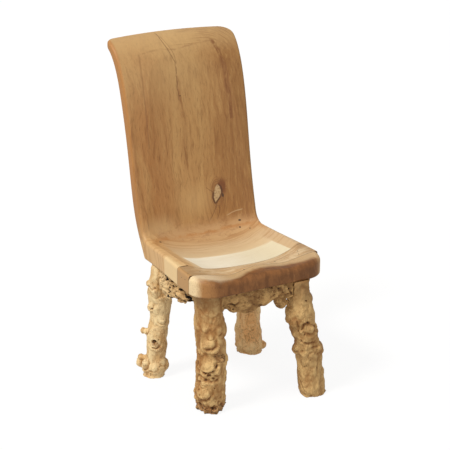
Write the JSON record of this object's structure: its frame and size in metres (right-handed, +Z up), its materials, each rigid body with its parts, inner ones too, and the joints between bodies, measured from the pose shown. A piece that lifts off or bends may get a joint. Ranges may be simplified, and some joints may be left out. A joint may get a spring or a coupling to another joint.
{
  "type": "chair",
  "caption": "High-backed chair with a seat and scrolled back carved from one block of timber, a glued front, and four gnarled root legs with burl aprons",
  "frame": {"origin": "on the floor, at the middle of the overall width and depth", "axes": "+X to the sitter's left as seen from the front, which is the viewer's right; +Y to the rear; +Z up"},
  "size_m": [0.4647, 0.6494, 1.0571],
  "materials": {
    "carved_block": "satin oiled hardwood, brown heartwood with a cream sapwood bowl",
    "glued_strips": "satin grey-brown hardwood with small holes",
    "front_board": "satin dark brown hardwood",
    "root_wood": "matt bare root wood",
    "burl": "matt rough burl",
    "dowel": "plain turned dowel"
  },
  "bodies": {
    "root": {"back_and_seat": "carved_block", "seat_strip_left": "glued_strips", "seat_strip_right": "glued_strips", "seat_front_board": "front_board", "leg_front_left": "root_wood", "leg_front_right": "root_wood", "leg_rear_left": "root_wood", "leg_rear_right": "root_wood", "apron_front": "burl", "apron_left": "burl", "apron_right": "burl", "apron_rear": "burl", "apron_front_pins": "dowel", "apron_left_pins": "dowel", "apron_right_pins": "dowel", "apron_rear_pins": "dowel", "leg_dowel_front_left": "dowel", "leg_dowel_front_right": "dowel", "leg_dowel_rear_left": "dowel", "leg_dowel_rear_right": "dowel", "board_dowels": "dowel"}
  },
  "joints": []
}
